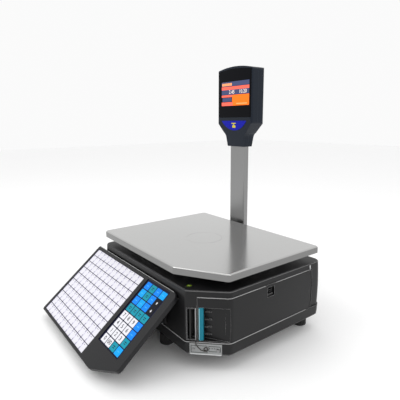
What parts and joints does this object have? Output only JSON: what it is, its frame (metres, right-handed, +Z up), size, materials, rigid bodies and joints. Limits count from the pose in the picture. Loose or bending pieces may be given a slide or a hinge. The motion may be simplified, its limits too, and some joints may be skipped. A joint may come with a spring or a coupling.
{
  "type": "retail price scale",
  "caption": "Counter price scale with a steel weighing pan, tilted membrane keypad, side label printer behind a swinging door, and a pole-mounted two-sided display.",
  "frame": {"origin": "on the table under the centre of the whole scale's bounding box", "axes": "+Z up, +X to the right and +Y to the rear as the operator sees it"},
  "size_m": [0.4082, 0.4854, 0.554],
  "materials": {
    "charcoal_abs": "fine texture",
    "keypad_abs": "fine texture",
    "black_steel": "powder coated",
    "zinc_steel": "zinc plated",
    "teal_plastic": "satin moulded",
    "grey_plastic": "satin",
    "pale_grey_plastic": "satin",
    "black_plastic": "satin",
    "level_fluid": "clear",
    "zinc_sheet": "galvanised",
    "platen_rubber": "ground",
    "acetal": "satin",
    "brass_gear": "machined",
    "motor_can": "satin",
    "head_aluminium": "anodised",
    "label_paper": "matt",
    "core_board": "matt",
    "cell_aluminium": "anodised",
    "cast_grey": "cast and painted",
    "pad_rubber": "moulded",
    "stainless": "satin polished",
    "preset_foil": "satin foil",
    "function_foil": "satin foil",
    "board_green": "solder mask",
    "pole_aluminium": "satin anodised",
    "blue_black_abs": "fine texture",
    "window_glass": "gloss",
    "lcd_stack": "gloss",
    "badge_blue": "gloss",
    "foot_rubber": "moulded"
  },
  "bodies": {
    "scale_body": {"base_tray": "charcoal_abs", "upper_housing": "charcoal_abs", "housing_screws": "zinc_steel", "door_hinge_pins": "zinc_steel", "slot_frame": "grey_plastic", "peel_bar": "zinc_steel", "seal_plate": "pale_grey_plastic", "seal_screws": "zinc_steel", "seal_wire": "zinc_steel", "level_bezel": "black_plastic", "level_vial": "level_fluid", "printer_chassis": "zinc_sheet", "stepper_motor": "motor_can", "head_pin": "zinc_steel", "roll_spindle": "black_plastic", "load_cell": "cell_aluminium", "cell_base_bolts": "zinc_steel", "keypad_upper_case": "keypad_abs", "keypad_lower_case": "charcoal_abs", "preset_sheet": "preset_foil", "function_sheet": "function_foil", "keypad_board": "board_green", "keypad_brackets": "black_steel", "mains_inlet": "black_plastic", "port_panel": "zinc_sheet", "main_board": "board_green", "power_supply": "zinc_sheet", "display_pole": "pole_aluminium", "pole_bracket": "charcoal_abs", "pole_screws": "zinc_steel", "display_front_shell": "blue_black_abs", "display_rear_shell": "blue_black_abs", "display_windows": "window_glass", "lcd_modules": "lcd_stack", "display_badge": "badge_blue"},
    "platform": {"platform_carrier": "cast_grey", "pan_pads": "pad_rubber", "cell_top_bolts": "zinc_steel"},
    "pan": {"weighing_pan": "stainless"},
    "door": {"printer_door": "charcoal_abs", "lever_pin": "zinc_steel", "lock_spring": "zinc_steel"},
    "lever": {"release_lever": "teal_plastic"},
    "lock": {"lock_tab": "charcoal_abs"},
    "platen": {"platen_roller": "platen_rubber", "platen_shaft": "zinc_steel", "platen_gear": "acetal"},
    "idler": {"idler_gear": "acetal"},
    "pinion": {"motor_pinion": "brass_gear"},
    "spool": {"takeup_spool": "acetal"},
    "print_unit": {"head_carrier": "zinc_sheet", "print_head": "head_aluminium"},
    "roll": {"label_roll": "label_paper", "roll_core": "core_board"},
    "rocker": {"power_switch": "black_plastic"},
    "foot_front_left": {"levelling_foot_front_left": "foot_rubber"},
    "foot_front_right": {"levelling_foot_front_right": "foot_rubber"},
    "foot_rear_left": {"levelling_foot_rear_left": "foot_rubber"},
    "foot_rear_right": {"levelling_foot_rear_right": "foot_rubber"}
  },
  "joints": [
    {"name": "platform_deflection", "type": "slide", "parent": "scale_body", "child": "platform", "axis": [0, 0, 1], "range_m": [-0.0008, 0], "stiffness_N_per_m": 200000, "springref_m": 0.0001, "deforming": ["load_cell"]},
    {"name": "pan_lift", "type": "slide", "parent": "platform", "child": "pan", "axis": [0, 0, 1], "range_m": [0, 0.06]},
    {"name": "door_swing", "type": "hinge", "parent": "scale_body", "child": "door", "pos_m": [0.20005, 0.16992, 0.09], "axis": [0, 0, 1], "range_deg": [0, 105]},
    {"name": "lever_pull", "type": "hinge", "parent": "door", "child": "lever", "pos_m": [0.16475, -0.0773, 0.088], "axis": [0, 0, -1], "range_deg": [0, 12], "stiffness_Nm_per_rad": 0.4, "springref_deg": -5.73},
    {"name": "lock_slide", "type": "slide", "parent": "door", "child": "lock", "axis": [0, 0, 1], "range_m": [0, 0.006], "stiffness_N_per_m": 250, "springref_m": -0.003, "deforming": ["lock_spring"]},
    {"name": "platen_spin", "type": "hinge", "parent": "scale_body", "child": "platen", "pos_m": [0.13783, -0.07857, 0.08], "axis": [0, 0, 1], "continuous": true},
    {"name": "idler_spin", "type": "hinge", "parent": "scale_body", "child": "idler", "pos_m": [0.12483, -0.05606, 0.05], "axis": [0, 0, 1], "continuous": true},
    {"name": "pinion_spin", "type": "hinge", "parent": "scale_body", "child": "pinion", "pos_m": [0.10483, -0.05606, 0.055], "axis": [0, 0, 1], "continuous": true},
    {"name": "spool_spin", "type": "hinge", "parent": "scale_body", "child": "spool", "pos_m": [0.14664, -0.02372, 0.08], "axis": [0, 0, 1], "continuous": true},
    {"name": "roll_spin", "type": "hinge", "parent": "scale_body", "child": "roll", "pos_m": [0.13635, 0.08992, 0.09], "axis": [0, 0, 1], "continuous": true},
    {"name": "head_lift", "type": "hinge", "parent": "scale_body", "child": "print_unit", "pos_m": [0.13083, -0.04405, 0.088], "axis": [0, 0, 1], "range_deg": [0, 6], "stiffness_Nm_per_rad": 1.5, "springref_deg": -5.73},
    {"name": "switch_rock", "type": "hinge", "parent": "scale_body", "child": "rocker", "pos_m": [-0.11365, 0.20192, 0.092], "axis": [1, 0, 0], "range_deg": [0, 12]},
    {"name": "foot_screw_front_left", "type": "slide", "parent": "scale_body", "child": "foot_front_left", "axis": [0, 0, -1], "range_m": [-0.004, 0.006]},
    {"name": "foot_screw_front_right", "type": "slide", "parent": "scale_body", "child": "foot_front_right", "axis": [0, 0, -1], "range_m": [-0.004, 0.006]},
    {"name": "foot_screw_rear_left", "type": "slide", "parent": "scale_body", "child": "foot_rear_left", "axis": [0, 0, -1], "range_m": [-0.004, 0.006]},
    {"name": "foot_screw_rear_right", "type": "slide", "parent": "scale_body", "child": "foot_rear_right", "axis": [0, 0, -1], "range_m": [-0.004, 0.006]}
  ],
  "couplings": [
    {"joint": "platen_spin", "follows": "roll_spin", "ratio": -7.1429},
    {"joint": "idler_spin", "follows": "roll_spin", "ratio": 6.1224},
    {"joint": "pinion_spin", "follows": "roll_spin", "ratio": -14.286},
    {"joint": "spool_spin", "follows": "roll_spin", "ratio": -3.4286}
  ]
}
